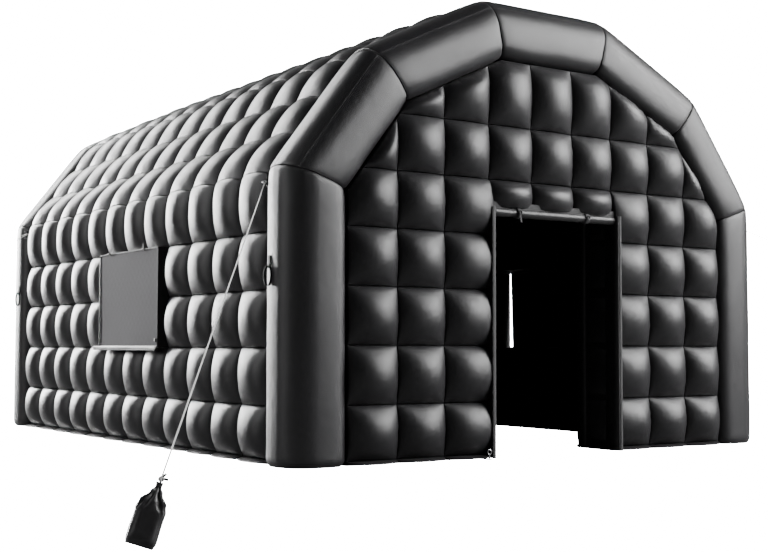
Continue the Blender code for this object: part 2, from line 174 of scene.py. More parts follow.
def seam_group():
    """Sewn seams from the distance to the nearest seam each way: a groove mask, which the cloth uses for the groove's
    bump and for painted shade, and a row of stitches beside it.
    """
    group, start, end = new_group(
        "sewn_seams",
        [("Seams", "NodeSocketVector", None), ("Flat", "NodeSocketVector", None),
         ("Stitch Gap", "NodeSocketFloat", 0.008), ("Stitch Length", "NodeSocketFloat", 0.009)],
        [("Groove", "NodeSocketFloat"), ("Stitches", "NodeSocketFloat")])
    seams = group.nodes.new("ShaderNodeSeparateXYZ")
    group.links.new(start.outputs["Seams"], seams.inputs[0])
    flat = group.nodes.new("ShaderNodeSeparateXYZ")
    group.links.new(start.outputs["Flat"], flat.inputs[0])
    nearest = math_node(group, "MINIMUM", seams.outputs[0], seams.outputs[1])
    group.links.new(range_node(group, nearest, 0.0, 0.006, 1.0, 0.0), end.inputs["Groove"])
    rows = []
    turns = math_node(group, "DIVIDE", 2 * math.pi, start.outputs["Stitch Length"])
    for distance, along in ((seams.outputs[0], flat.outputs[1]), (seams.outputs[1], flat.outputs[0])):
        off = math_node(group, "ABSOLUTE", math_node(group, "SUBTRACT", distance, start.outputs["Stitch Gap"]))
        line = range_node(group, off, 0.0005, 0.0015, 1.0, 0.0)
        dash = range_node(group, math_node(group, "SINE", math_node(group, "MULTIPLY", along, turns)), -0.3, 0.1)
        rows.append(math_node(group, "MULTIPLY", line, dash))
    group.links.new(math_node(group, "MAXIMUM", rows[0], rows[1]), end.inputs["Stitches"])
    return group


def coating_group():
    """Worn coating: a slow drift of tone, fine grain and scuffs, from a position in metres; on the ring patch its wide
    span of tone is a painted reflection.
    """
    group, start, end = new_group(
        "worn_coating",
        [("Place", "NodeSocketVector", None), ("Dark", "NodeSocketColor", (0.02, 0.02, 0.02, 1)),
         ("Light", "NodeSocketColor", (0.05, 0.05, 0.05, 1)), ("Smooth", "NodeSocketFloat", 0.4),
         ("Rough", "NodeSocketFloat", 0.6)],
        [("Color", "NodeSocketColor"), ("Roughness", "NodeSocketFloat"), ("Crease", "NodeSocketFloat")])
    drift = noise_node(group, start.outputs["Place"], 0.9, 2.0)
    grain = noise_node(group, start.outputs["Place"], 38.0, 4.0, 0.6)
    crease = noise_node(group, start.outputs["Place"], 9.0, 3.0, 0.45)
    blend = math_node(group, "ADD", math_node(group, "MULTIPLY", drift, 0.7), math_node(group, "MULTIPLY", grain, 0.3))
    mix = group.nodes.new("ShaderNodeMix")
    mix.data_type = "RGBA"
    group.links.new(range_node(group, blend, 0.3, 0.7), mix.inputs["Factor"])
    group.links.new(start.outputs["Dark"], mix.inputs["A"])
    group.links.new(start.outputs["Light"], mix.inputs["B"])
    group.links.new(mix.outputs["Result"], end.inputs["Color"])
    spread = math_node(group, "SUBTRACT", start.outputs["Rough"], start.outputs["Smooth"])
    worn = math_node(group, "MULTIPLY", range_node(group, grain, 0.25, 0.75), spread)
    group.links.new(math_node(group, "ADD", start.outputs["Smooth"], worn), end.inputs["Roughness"])
    group.links.new(crease, end.inputs["Crease"])
    return group


GROUPS = {"weave": weave_group(), "seams": seam_group(), "coating": coating_group()}


def place_group(tree, name):
    """One of the shared node groups, placed in a material."""
    node = tree.nodes.new("ShaderNodeGroup")
    node.node_tree = GROUPS[name]
    return node


def bump_node(tree, height, distance, normal=None, strength=1.0):
    """A Bump node on a height, chained after another normal."""
    node = tree.nodes.new("ShaderNodeBump")
    node.inputs["Strength"].default_value = strength
    node.inputs["Distance"].default_value = distance
    tree.links.new(height, node.inputs["Height"])
    if normal is not None:
        tree.links.new(normal, node.inputs["Normal"])
    return node.outputs["Normal"]


def new_material(name):
    """An empty material with its Principled shader."""
    made = bpy.data.materials.new(name)
    made.use_nodes = True
    return made, made.node_tree, made.node_tree.nodes["Principled BSDF"]


# Finishes

def cloth(name, dark, light, smooth, rough, sheen=0.2, specular=0.5, sewn=True, pitch=0.0022, weave=0.00025):
    """Coated woven cloth: weave, worn coating, and where it is sewn its grooves, darkened with painted shade, and
    stitches.
    """
    made, tree, shader = new_material(name)
    uv = tree.nodes.new("ShaderNodeUVMap")
    uv.uv_map = "flat"
    coords = tree.nodes.new("ShaderNodeTexCoord")
    coating = place_group(tree, "coating")
    coating.inputs["Dark"].default_value = (*dark, 1)
    coating.inputs["Light"].default_value = (*light, 1)
    coating.inputs["Smooth"].default_value = smooth
    coating.inputs["Rough"].default_value = rough
    tree.links.new(coords.outputs["Object"], coating.inputs["Place"])
    threads = place_group(tree, "weave")
    threads.inputs["Pitch"].default_value = pitch
    tree.links.new(uv.outputs["UV"], threads.inputs["Flat"])
    colour = coating.outputs["Color"]
    normal = bump_node(tree, coating.outputs["Crease"], 0.004, strength=0.5)
    normal = bump_node(tree, threads.outputs["Thread"], weave, normal)
    if sewn:
        distances = tree.nodes.new("ShaderNodeAttribute")
        distances.attribute_name = "seams"
        seams = place_group(tree, "seams")
        tree.links.new(distances.outputs["Vector"], seams.inputs["Seams"])
        tree.links.new(uv.outputs["UV"], seams.inputs["Flat"])
        # Painted shade: the base colour is darkened towards near black inside the seam grooves.
        groove_painted_shade = tree.nodes.new("ShaderNodeMix")
        groove_painted_shade.data_type = "RGBA"
        tree.links.new(math_node(tree, "MULTIPLY", seams.outputs["Groove"], 0.6), groove_painted_shade.inputs["Factor"])
        tree.links.new(colour, groove_painted_shade.inputs["A"])
        groove_painted_shade.inputs["B"].default_value = (0.006, 0.006, 0.007, 1)
        colour = groove_painted_shade.outputs["Result"]
        normal = bump_node(tree, math_node(tree, "SUBTRACT", 1.0, seams.outputs["Groove"]), 0.003, normal)
        normal = bump_node(tree, seams.outputs["Stitches"], 0.0008, normal)
    tree.links.new(colour, shader.inputs["Base Color"])
    tree.links.new(coating.outputs["Roughness"], shader.inputs["Roughness"])
    tree.links.new(normal, shader.inputs["Normal"])
    shader.inputs["Specular IOR Level"].default_value = specular
    shader.inputs["Sheen Weight"].default_value = sheen
    shader.inputs["Sheen Roughness"].default_value = 0.4
    return made


def mesh_cloth():
    """Window mesh: a fine dark grid with a coarser faint grid of reinforcing threads."""
    made, tree, shader = new_material("window_mesh_cloth")
    uv = tree.nodes.new("ShaderNodeUVMap")
    uv.uv_map = "flat"
    fine = place_group(tree, "weave")
    fine.inputs["Pitch"].default_value = 0.006
    coarse = place_group(tree, "weave")
    coarse.inputs["Pitch"].default_value = 0.09
    for threads in (fine, coarse):
        tree.links.new(uv.outputs["UV"], threads.inputs["Flat"])
    mix = tree.nodes.new("ShaderNodeMix")
    mix.data_type = "RGBA"
    both = math_node(tree, "ADD", math_node(tree, "MULTIPLY", fine.outputs["Thread"], 0.75),
                     math_node(tree, "MULTIPLY", coarse.outputs["Thread"], 0.25))
    tree.links.new(both, mix.inputs["Factor"])
    mix.inputs["A"].default_value = (0.030, 0.029, 0.032, 1)
    mix.inputs["B"].default_value = (0.050, 0.048, 0.053, 1)
    tree.links.new(mix.outputs["Result"], shader.inputs["Base Color"])
    tree.links.new(bump_node(tree, fine.outputs["Thread"], 0.0004), shader.inputs["Normal"])
    shader.inputs["Roughness"].default_value = 0.85
    shader.inputs["Specular IOR Level"].default_value = 0.2
    return made


def braid():
    """White braided cord: crossed diagonal strands on the rope's own flat map."""
    made, tree, shader = new_material("white_braid")
    uv = tree.nodes.new("ShaderNodeUVMap")
    uv.uv_map = "flat"
    turn = tree.nodes.new("ShaderNodeMapping")
    turn.inputs["Rotation"].default_value = (0, 0, math.radians(45))
    tree.links.new(uv.outputs["UV"], turn.inputs["Vector"])
    strands = place_group(tree, "weave")
    strands.inputs["Pitch"].default_value = 0.004
    tree.links.new(turn.outputs["Vector"], strands.inputs["Flat"])
    mix = tree.nodes.new("ShaderNodeMix")
    mix.data_type = "RGBA"
    mix.inputs["A"].default_value = (0.62, 0.62, 0.62, 1)
    mix.inputs["B"].default_value = (0.90, 0.90, 0.89, 1)
    tree.links.new(strands.outputs["Thread"], mix.inputs["Factor"])
    tree.links.new(mix.outputs["Result"], shader.inputs["Base Color"])
    tree.links.new(bump_node(tree, strands.outputs["Thread"], 0.0006), shader.inputs["Normal"])
    shader.inputs["Roughness"].default_value = 0.7
    return made


def steel():
    """Zinc-plated wire with faint draw marks."""
    made, tree, shader = new_material("plated_steel")
    coords = tree.nodes.new("ShaderNodeTexCoord")
    marks = noise_node(tree, coords.outputs["Object"], 220.0, 3.0, 0.7)
    shader.inputs["Base Color"].default_value = (0.55, 0.55, 0.56, 1)
    shader.inputs["Metallic"].default_value = 1.0
    tree.links.new(range_node(tree, marks, 0.2, 0.8, 0.25, 0.5), shader.inputs["Roughness"])
    tree.links.new(bump_node(tree, marks, 0.0002), shader.inputs["Normal"])
    return made


BLACK = cloth("black_coated_cloth", (0.0085, 0.0080, 0.0095), (0.014, 0.0135, 0.0155), 0.34, 0.44, sheen=0.03)
TUBE_CLOTH = cloth("black_tube_cloth", (0.0085, 0.0080, 0.0095), (0.014, 0.0135, 0.0155), 0.36, 0.46, sheen=0.03)
LINING = cloth("black_lining", (0.012, 0.011, 0.013), (0.020, 0.019, 0.021), 0.32, 0.48)
WEBBING = cloth("black_webbing", (0.010, 0.010, 0.011), (0.022, 0.021, 0.023), 0.55, 0.7, sewn=False, pitch=0.003,
                weave=0.0006)
# Grey piping cord; its light grey also stands as a painted highlight along the window's sill bar.
PIPING_AND_SILL_HIGHLIGHT = cloth("grey_piping_and_painted_highlight", (0.07, 0.07, 0.075), (0.13, 0.13, 0.135), 0.4, 0.55, sewn=False)
TAPE = cloth("grey_tape", (0.030, 0.030, 0.032), (0.055, 0.054, 0.057), 0.45, 0.6, sewn=False, pitch=0.003,
             weave=0.0006)
# Ring patch: dark cloth mottled up to light grey, a painted reflection standing for mottled glints, besides its low
# roughness.
PATCH_WITH_PAINTED_GLINTS = cloth("ring_patch_painted_glints", (0.020, 0.020, 0.022), (0.20, 0.20, 0.21), 0.18, 0.4, sewn=False, pitch=0.004,
              weave=0.001)
BAG = cloth("black_bag_cloth", (0.022, 0.021, 0.023), (0.036, 0.035, 0.038), 0.28, 0.42, sewn=False)
MESH = mesh_cloth()
BRAID = braid()
STEEL = steel()


# Making pieces

def piece(name, bm, finish, nodes=(), sharp=50):
    """Turn a bmesh into a finished piece that rides on the tent."""
    bmesh.ops.recalc_face_normals(bm, faces=bm.faces[:])
    mesh = bpy.data.meshes.new(name)
    bm.to_mesh(mesh)
    bm.free()
    mesh.materials.append(finish)
    mesh.shade_smooth()
    mesh.set_sharp_from_angle(angle=math.radians(sharp))
    made = bpy.data.objects.new(name, mesh)
    bpy.context.scene.collection.objects.link(made)
    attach(made, "root")
    if nodes:
        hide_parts(*nodes)
    return made


def grid(bm, columns, rows):
    """A flat grid operator's vertices, each with its column and row numbers."""
    made = bmesh.ops.create_grid(bm, x_segments=columns, y_segments=rows, size=0.5)["verts"]
    return [(vert, round((vert.co.x + 0.5) * columns), round((vert.co.y + 0.5) * rows)) for vert in made]


def lay_flat(bm, flat):
    """Write the UV map named flat, in metres, from each vertex's flat position."""
    layer = bm.loops.layers.uv.new("flat")
    for face in bm.faces:
        for loop in face.loops:
            loop[layer].uv = flat(loop.vert)


def offset(k, out):
    """Corner k of the room's outline moved out from the room, on the mitre between its two edges."""
    if k == 0:
        return ROOM[0] + out * edge_normal(0)
    if k == len(ROOM) - 1:
        return ROOM[k] + out * edge_normal(k - 1)
    before = edge_normal(k - 1)
    after = edge_normal(k)
    return ROOM[k] + (before + after) * (out / (1.0 + before.dot(after)))


def edge_normal(k):
    """Outward direction of the room's edge from corner k."""
    along = (ROOM[k + 1] - ROOM[k]).normalized()
    return Vector((-along.y, along.x))


def along_edge(k, share, out):
    """Point on edge k of the outline at a share of its length, moved out from the room."""
    return offset(k, out).lerp(offset(k + 1, out), share)


# Quilted panels

def bulge(t, keep_low, keep_high, tight):
    """Height of a stuffed cell at a share t across it, from softly arched (tight 0) to fully round (1)."""
    keep = keep_low if t < 0.5 else keep_high
    off_middle = abs(2.0 * t - 1.0)
    full = math.sqrt(max(0.0, 1.0 - off_middle ** 2.2))
    soft = 1.0 - off_middle ** 2.0
    return keep + (1.0 - keep) * (tight * full + (1.0 - tight) * soft)


def pucker(a, b, gap_a, gap_b):
    """Small folds that run away from the seams, fading over a few centimetres."""
    across = noise.noise(Vector((a * 3.0, b * 26.0, 3.1))) * math.exp(-gap_a / 0.045)
    along = noise.noise(Vector((a * 26.0, b * 3.0, 8.7))) * math.exp(-gap_b / 0.045)
    slow = noise.noise(Vector((a * 4.5, b * 4.5, 1.9)))
    return 0.008 * across + 0.008 * along + 0.004 * slow


class Quilt:
    """A quilted panel: seam places each way, how much height each seam keeps, and where a point goes."""

    def __init__(self, across, up, place, keep_across, keep_up, tight=(0.5, 0.5)):
        self.tight = tight
        self.across = across
        self.up = up
        self.place = place
        self.keep_across = keep_across
        self.keep_up = keep_up

    def cell(self, step, seams):
        """Cell number, share across the cell and place of one mesh step."""
        cell = min(step // CELL_STEPS, len(seams) - 2)
        turn = math.pi * (step - cell * CELL_STEPS) / CELL_STEPS
        t = (1.0 - math.cos(turn)) / 2.0
        return cell, t, seams[cell] + t * (seams[cell + 1] - seams[cell])

    def height(self, i, j):
        """Share of the full cushion height at mesh step i, j."""
        column, u, a = self.cell(i, self.across)
        row, v, b = self.cell(j, self.up)
        wide = bulge(u, self.keep_across[column], self.keep_across[column + 1], self.tight[0])
        high = bulge(v, self.keep_up[row], self.keep_up[row + 1], self.tight[1])
        return wide * high


def sewn_panel(name, node, quilt, rows_high, outer, inner, fade=None, cuts=(), finish=None):
    """A closed panel: an outer and an inner quilted face, joined round their edges."""
    bm = bmesh.new()
    seams = bm.verts.layers.float_vector.new("seams")
    flat = bm.verts.layers.float_vector.new("flat_place")
    columns = (len(quilt.across) - 1) * CELL_STEPS
    rows = (len(quilt.up) - 1) * CELL_STEPS
    for face, (base, rise, sign) in enumerate((outer, inner)):
        for vert, i, j in grid(bm, columns, rows):
            column, u, a = quilt.cell(i, quilt.across)
            row, v, b = quilt.cell(j, quilt.up)
            width = abs(quilt.across[column + 1] - quilt.across[column])
            high = rows_high[row]
            gap_a = min(u, 1 - u) * width
            gap_b = min(v, 1 - v) * high
            share = quilt.height(i, j)
            metres_up = sum(rows_high[:row]) + v * high
            tall = rise * share + min(share * 3.0, 1.0) * rise / CUSHION * pucker(a + 9 * face, metres_up, gap_a, gap_b)
            if fade is not None:
                tall *= fade(a, b)
            vert.co = quilt.place(a, b, base + sign * tall)
            vert[seams] = Vector((gap_a, gap_b, 0))
            vert[flat] = Vector((a, metres_up, 0))
    rim = [edge for edge in bm.edges if edge.is_boundary]
    bmesh.ops.bridge_loops(bm, edges=rim)
    for point, normal in cuts:
        everything = bm.verts[:] + bm.edges[:] + bm.faces[:]
        bmesh.ops.bisect_plane(bm, geom=everything, dist=1e-6, plane_co=point, plane_no=normal, clear_outer=True)
        bmesh.ops.holes_fill(bm, edges=[edge for edge in bm.edges if edge.is_boundary])
    lay_flat(bm, lambda vert: vert[flat].xy)
    made = piece(name, bm, finish or BLACK, [node])
    return made


def seam_places(low, high, count):
    """Evenly spaced seam places between two values."""
    return [low + (high - low) * i / count for i in range(count + 1)]


def wall_place(k):
    """Places a point of a side wall: along Y, up by a share of its outer height, out from the room."""
    sign = -1 if k == 0 else 1
    top_row = offset(1, WALL_OUT).y * (WALL_ROWS - 1) / WALL_ROWS

    def place(a, b, out):
        height = b * offset(1, WALL_OUT).y
        if height > top_row:
            part = (height - top_row) / (offset(1, WALL_OUT).y - top_row)
            height = top_row + part * (offset(1, out).y - top_row)
        return Vector((sign * (HALF_ROOM + out), a, height))
    return place


WALL_CREASE = 0.02         # height that the upright creases of the sides and roof keep
WALL_NOTCH = 0.40          # height that the level seams of a side wall keep
EAVE_NOTCH = 0.60
ROOF_NOTCH = 0.68
WALL_TIGHT = (0.75, 0.65)  # how round the cushions are, across and up
ROOF_TIGHT = (0.75, 0.15)


def wall_part(side, part, k, columns, rows):
    """One quilted part of a side wall between two columns and two rows."""
    first, last = columns
    low, high = rows
    across = [-SIDE_HALF + i * COLUMN for i in range(first, last + 1)]
    row = offset(1, WALL_OUT).y / WALL_ROWS
    up = [i / WALL_ROWS for i in range(low, high + 1)]
    keep_up = [WALL_NOTCH] * len(up)
    rows_high = [row] * (len(up) - 1)
    if low == 0:
        up = [0.0, HEM / (WALL_ROWS * row)] + up[1:]
        keep_up = [0.0, 0.0] + keep_up[1:]
        rows_high = [HEM, row - HEM] + rows_high[1:]
    if high == WALL_ROWS:
        keep_up[-1] = EAVE_NOTCH
    quilt = Quilt(across, up, wall_place(k), [WALL_CREASE] * len(across), keep_up, WALL_TIGHT)
    node = f"{side}_wall_{part}"
    sewn_panel(f"{node}_quilt", node, quilt, rows_high, (WALL_OUT, CUSHION, 1), (WALL_IN, INNER_CUSHION, -1))


def side_wall(side, k):
    """A side wall: four quilted parts round the window."""
    first, last = WINDOW_COLUMNS
    low, high = WINDOW_ROWS
    wall_part(side, "front", k, (0, first), (0, WALL_ROWS))
    wall_part(side, "rear", k, (last, COLUMNS), (0, WALL_ROWS))
    wall_part(side, "below_window", k, WINDOW_COLUMNS, (0, low))
    wall_part(side, "above_window", k, WINDOW_COLUMNS, (high, WALL_ROWS))


def roof_panel(k, name):
    """One of the five quilted roof panels."""
    across = [-SIDE_HALF + i * COLUMN for i in range(COLUMNS + 1)]
    up = seam_places(0.0, 1.0, ROOF_ROWS)
    keep_up = [ROOF_NOTCH] * len(up)
    if k == 1:
        keep_up[0] = EAVE_NOTCH
    if k == LAST_EDGE - 1:
        keep_up[-1] = EAVE_NOTCH

    def place(a, b, out):
        point = along_edge(k, b, out)
        return Vector((point.x, a, point.y))
    length = (offset(k + 1, WALL_OUT) - offset(k, WALL_OUT)).length
    quilt = Quilt(across, up, place, [WALL_CREASE] * len(across), keep_up, ROOF_TIGHT)
    sewn_panel(f"{name}_quilt", name, quilt, [length / ROOF_ROWS] * ROOF_ROWS, (WALL_OUT, CUSHION, 1),
               (WALL_IN, INNER_CUSHION, -1))


END_CREASE = 0.16
END_NOTCH = 0.14
END_TIGHT = (0.45, 0.50)
DOOR_EDGE = 0.55


def arch_gap(x, z):
    """Distance from a point of an end wall to the underside of the arch over it."""
    gaps = []
    for k in range(1, LAST_EDGE):
        normal = edge_normal(k)
        gaps.append((ROOM[k] - Vector((x, z))).dot(normal))
    return min(gaps)


def near_arch(x, z):
    """Cushions round down to a seam where they meet the arch."""
    t = min(max(arch_gap(x, z) / 0.13, 0.0), 1.0)
    return math.sqrt(1.0 - (1.0 - t) ** 2)


def arch_cuts():
    """Planes of the arch's underside, which trim an end wall's upper panels."""
    cuts = []
    for k in range(1, LAST_EDGE):
        normal = edge_normal(k)
        point = ROOM[k] - normal * 0.0006
        cuts.append((Vector((point.x, 0, point.y)), Vector((normal.x, 0, normal.y))))
    return cuts


def end_part(name, node, end, across, up, keep_across, keep_up, cuts=()):
    """One quilted part of the front or rear wall between seam places in X and Z."""
    def place(a, b, out):
        return Vector((a, end * (END_SEAM_Y + out), b))
    if up[0] == 0.0:
        up = [0.0, HEM] + up[1:]
        keep_up = [0.0, 0.0] + keep_up[1:]
    rows_high = [high - low for low, high in zip(up[:-1], up[1:])]
    quilt = Quilt(across, up, place, keep_across, keep_up, END_TIGHT)
    return sewn_panel(name, node, quilt, rows_high, (0.0, CUSHION, 1), (-END_THICK, INNER_CUSHION, -1),
                      fade=near_arch, cuts=cuts)


def end_walls():
    """Front wall round its doorway, closed rear wall, and the gable over each."""
    xs = [(i - FRONT_COLUMNS / 2) * CELL for i in range(FRONT_COLUMNS + 1)]
    zs = [i * CELL for i in range(WALL_ROWS + 1)]
    beside = [END_NOTCH] * len(zs)
    left_keep = [0.0, END_CREASE, END_CREASE, DOOR_EDGE]
    end_part("front_wall_left_quilt", "front_wall_left", -1, xs[:4], zs, left_keep, beside, arch_cuts())
    end_part("front_wall_right_quilt", "front_wall_right", -1, xs[6:], zs, left_keep[::-1], beside, arch_cuts())
    end_part("front_wall_over_door_quilt", "front_wall_over_door", -1, xs[3:7], [DOOR_TOP, zs[-1]],
             [END_CREASE] * 4, [DOOR_EDGE, END_NOTCH])
    whole = [0.0] + [END_CREASE] * (len(xs) - 2) + [0.0]
    end_part("rear_wall_quilt", "rear_wall", 1, xs, zs, whole, beside, arch_cuts())
    gable_zs = [zs[-1], zs[-1] + CELL, CROWN[1]]
    for end_name, end in (("front", -1), ("rear", 1)):
        end_part(f"{end_name}_gable_quilt", f"{end_name}_gable", end, xs, gable_zs, whole, [END_NOTCH] * 3, arch_cuts())


# Arches

TUBE_SIDES = 48
TUBE_STEPS = 40
OUTER_FRONT = 2.0          # how square each corner of the section is: 2 is round
INNER_FRONT = 4.2
OUTER_BACK = 3.3
TUBE_SEAM = math.radians(310)  # where the long seam runs round the section
INNER_BACK = 3.0


def tube_section(turn):
    """A point round an arch's section: how far out, and how far towards the tent's middle, from its own middle."""
    c = math.cos(turn)
    s = math.sin(turn)
    if s < 0:
        square = OUTER_FRONT if c > 0 else INNER_FRONT
    else:
        square = OUTER_BACK if c > 0 else INNER_BACK
    out = math.copysign(abs(c) ** (2 / square), c) * TUBE_WIDTH / 2
    deep = math.copysign(abs(s) ** (2 / square), s) * TUBE_DEPTH / 2
    return out, deep


def tube_swell(distance_low, distance_high, foot):
    """Share of the full section: pinched at the sewn mitres and drawn in at a post's foot."""
    swell = 1.0
    for distance, at_ground in ((distance_low, foot[0]), (distance_high, foot[1])):
        if at_ground:
            swell -= 0.10 * max(0.0, 1.0 - distance / 0.05) ** 2
        else:
            swell -= 0.045 * math.exp(-(distance / 0.014)) + 0.022 * math.exp(-(distance / 0.10) ** 2)
    return swell


def arch_tube(end, k, part):
    """One tube of an arch, closed at both ends."""
    length = (offset(k + 1, TUBE_WIDTH / 2) - offset(k, TUBE_WIDTH / 2)).length
    foot = (k == 0, k == LAST_EDGE)
    bm = bmesh.new()
    seams = bm.verts.layers.float_vector.new("seams")
    flat = bm.verts.layers.float_vector.new("flat_place")
    for vert, i, j in grid(bm, TUBE_SIDES, TUBE_STEPS):
        turn = 2 * math.pi * (i + 0.5) / TUBE_SIDES
        share = (1.0 - math.cos(math.pi * j / TUBE_STEPS)) / 2.0
        share = min(max(share, 0.0002), 0.9998)
        low, high = share * length, (1 - share) * length
        swell = tube_swell(low, high, foot)
        out, deep = tube_section(turn)
        edge = min(low, high)
        wrinkle = 0.007 * noise.noise(Vector((turn * 5.0, k * 3.7 + share * 2.0, end * 4.4))) * math.exp(-edge / 0.09)
        wave = 0.003 * noise.noise(Vector((math.cos(turn) * 1.5, math.sin(turn) * 1.5, k * 5.0 + share * length * 2.5)))
        grow = swell + (wrinkle + wave) / (TUBE_WIDTH / 2)
        point = along_edge(k, share, TUBE_WIDTH / 2 + out * grow)
        vert.co = Vector((point.x, end * (ARCH_Y - deep * grow), point.y))
        corner = abs(turn - TUBE_SEAM) * TUBE_WIDTH / 2 * 0.6 if 0 < k < LAST_EDGE else 1.0
        vert[seams] = Vector((corner, max(edge, 0.0), 0))
        vert[flat] = Vector((turn * TUBE_WIDTH / 2, low, 0))
    bmesh.ops.remove_doubles(bm, verts=bm.verts[:], dist=1e-5)
    lay_flat(bm, lambda vert: vert[flat].xy)
    bmesh.ops.holes_fill(bm, edges=[edge for edge in bm.edges if edge.is_boundary])
    end_name = "front" if end < 0 else "rear"
    made = piece(f"{end_name}_{part}_tube", bm, TUBE_CLOTH, [f"{end_name}_{part}"], sharp=60)
    return made


def arches():
    """Both arches, seven tubes each."""
    for end in (-1, 1):
        for k, part in enumerate(ARCH_PIECES):
            arch_tube(end, k, part)


# Windows

def window_fittings(side, sign, corners):
    """The window's cloth return into the wall, its sill bar with a painted highlight in its light grey and a dark strip
    of painted shade under it, the toggles over it and the stud at its corner.
    """
    out = Vector((sign, 0, 0))
    sill_front, sill_rear, head_rear, head_front = corners
    made = []
    low = sill_front.z - 0.010
    high = head_front.z + 0.003
    front = sill_front.y - 0.003
    back = head_rear.y + 0.020
    middle_x = sign * (HALF_ROOM + WINDOW_FACE - 0.085)
    rim = [(front, low), (back, low), (back, high), (front, high), (front, low)]
    path = [Vector((middle_x, y, z)) for y, z in rim]
    made.append(cord_along(f"{side}_window_return", path, (0.085, 0.003), LINING, across=out,
                           square=8.0, closed=True, step=0.05))
    # Sill bar: a black strip drawn in light grey piping, so its tone is a painted highlight.
    bar = [sill_front + Vector((sign * 0.012, 0.01, -0.016)), sill_rear + Vector((sign * 0.012, 0.14, -0.012))]
    made.append(cord_along(f"{side}_window_sill_bar", bar, (0.008, 0.013), PIPING_AND_SILL_HIGHLIGHT, across=out,
                           square=3.0, sides=14))
    # A dark strip hung just under the bar: painted shade beneath it.
    shade = [point + Vector((0, 0, -0.019)) for point in bar]
    made.append(cord_along(f"{side}_window_sill_painted_shade_strip", shade, (0.012, 0.007), WEBBING, across=out))
    for number, share in enumerate((0.23, 0.82)):
        top = head_front.lerp(head_rear, share) + out * 0.006
        path = [top + Vector((0, 0, 0.050)), top + Vector((0, 0, -0.012))]
        made.append(cord_along(f"{side}_window_toggle_tab_{number}", path, (0.003, 0.007), WEBBING,
                               across=out, square=5.0, step=0.01))
        path = [top + Vector((sign * 0.006, -0.022, 0.004)), top + Vector((sign * 0.006, 0.022, 0.004))]
        made.append(cord_along(f"{side}_window_toggle_{number}", path, 0.006, WEBBING, step=0.01))
    stud = sill_front + Vector((sign * 0.008, 0.035, 0.050))
    for label, radius, wire, finish in (("ring", 0.013, 0.005, WEBBING), ("cap", 0.005, 0.006, BRAID)):
        turn = out.to_track_quat("Z", "Y").to_matrix().to_4x4()
        made.append(ring(f"{side}_window_stud_{label}", stud, turn, radius, wire, finish))
    return made


def window(side, k):
    """The window's stretched mesh, bound at its edges, with toggles, a press stud and a sill bar."""
    sign = -1 if k == 0 else 1
    row = offset(1, WALL_OUT).y / WALL_ROWS
    low = WINDOW_ROWS[0] * row + 0.012
    high = WINDOW_ROWS[1] * row - 0.004
    front = -SIDE_HALF + WINDOW_COLUMNS[0] * COLUMN + 0.004
    back = -SIDE_HALF + WINDOW_COLUMNS[1] * COLUMN - 0.022
    width = back - front
    height = high - low
    face = sign * (HALF_ROOM + WINDOW_FACE)
    bm = bmesh.new()
    steps = 40
    flat = bm.verts.layers.float_vector.new("flat_place")
    for vert, i, j in grid(bm, steps, steps):
        u = i / steps
        v = j / steps
        sag = 0.006 * math.sin(math.pi * u) * math.sin(math.pi * v)
        ripple = 0.003 * noise.noise(Vector((u * 3, v * 3, 5.5)))
        slip = 0.035 * (1 - u) * 0 + 0.030 * u * (1 - v)
        vert.co = Vector((face - sign * (sag + ripple), front + u * width - slip, low + v * height))
        vert[flat] = Vector((u * width, v * height, 0))
    lay_flat(bm, lambda vert: vert[flat].xy)
    sheet = piece(f"{side}_window_mesh", bm, MESH, [f"{side}_window"])
    corners = [Vector((face, front, low)), Vector((face, back - 0.030, low)), Vector((face, back, high)),
               Vector((face, front, high))]
    hems = []
    for label, first, second in (("sill", 0, 1), ("rear", 1, 2), ("head", 2, 3), ("front", 3, 0)):
        path = [corners[first], corners[second]]
        hems.append(cord_along(f"{side}_window_{label}_hem", path, 0.005, WEBBING))
    hems += window_fittings(side, sign, corners)


def section_point(turn, square):
    """A point round a section, from round (square 2) to nearly rectangular (6 or more)."""
    c = math.cos(turn)
    s = math.sin(turn)
    return math.copysign(abs(c) ** (2 / square), c), math.copysign(abs(s) ** (2 / square), s)


def cord_along(name, points, radius, finish, sides=10, nodes=(), step=0.02, across=None, square=2.0,
               closed=False):
    """A cord, or a flat strap with two half widths, swept along runs between points and closed at its ends."""
    wide, thick = radius if isinstance(radius, tuple) else (radius, radius)
    bm = bmesh.new()
    flat = bm.verts.layers.float_vector.new("flat_place")
    line = [points[0]]
    for first, second in zip(points[:-1], points[1:]):
        count = max(1, round((second - first).length / step))
        line += [first.lerp(second, i / count) for i in range(1, count + 1)]
    runs = [0.0]
    for first, second in zip(line[:-1], line[1:]):
        runs.append(runs[-1] + (second - first).length)
    last = len(line) - 1
    frames = []
    for i, point in enumerate(line):
        if closed and i in (0, last):
            ahead = (line[1] - line[last - 1]).normalized()
        else:
            ahead = (line[min(i + 1, last)] - line[max(i - 1, 0)]).normalized()
        side = (across or Vector((0.31, 0.17, 1.0))).copy()
        if abs(side.normalized().dot(ahead)) > 0.95:
            side = Vector((1.0, 0.02, 0.03))
        side = (side - ahead * side.dot(ahead)).normalized()
        frames.append((point, side, ahead.cross(side)))
    for vert, i, j in grid(bm, sides, last):
        point, side, other = frames[j]
        a, b = section_point(2 * math.pi * (i + 0.5) / sides, square)
        vert.co = point + wide * a * side + thick * b * other
        vert[flat] = Vector((i / sides * 4 * max(wide, thick), runs[j], 0))
    lay_flat(bm, lambda vert: vert[flat].xy)
    bmesh.ops.remove_doubles(bm, verts=bm.verts[:], dist=1e-6)
    bmesh.ops.holes_fill(bm, edges=[edge for edge in bm.edges if edge.is_boundary])
    return piece(name, bm, finish, nodes, sharp=50)


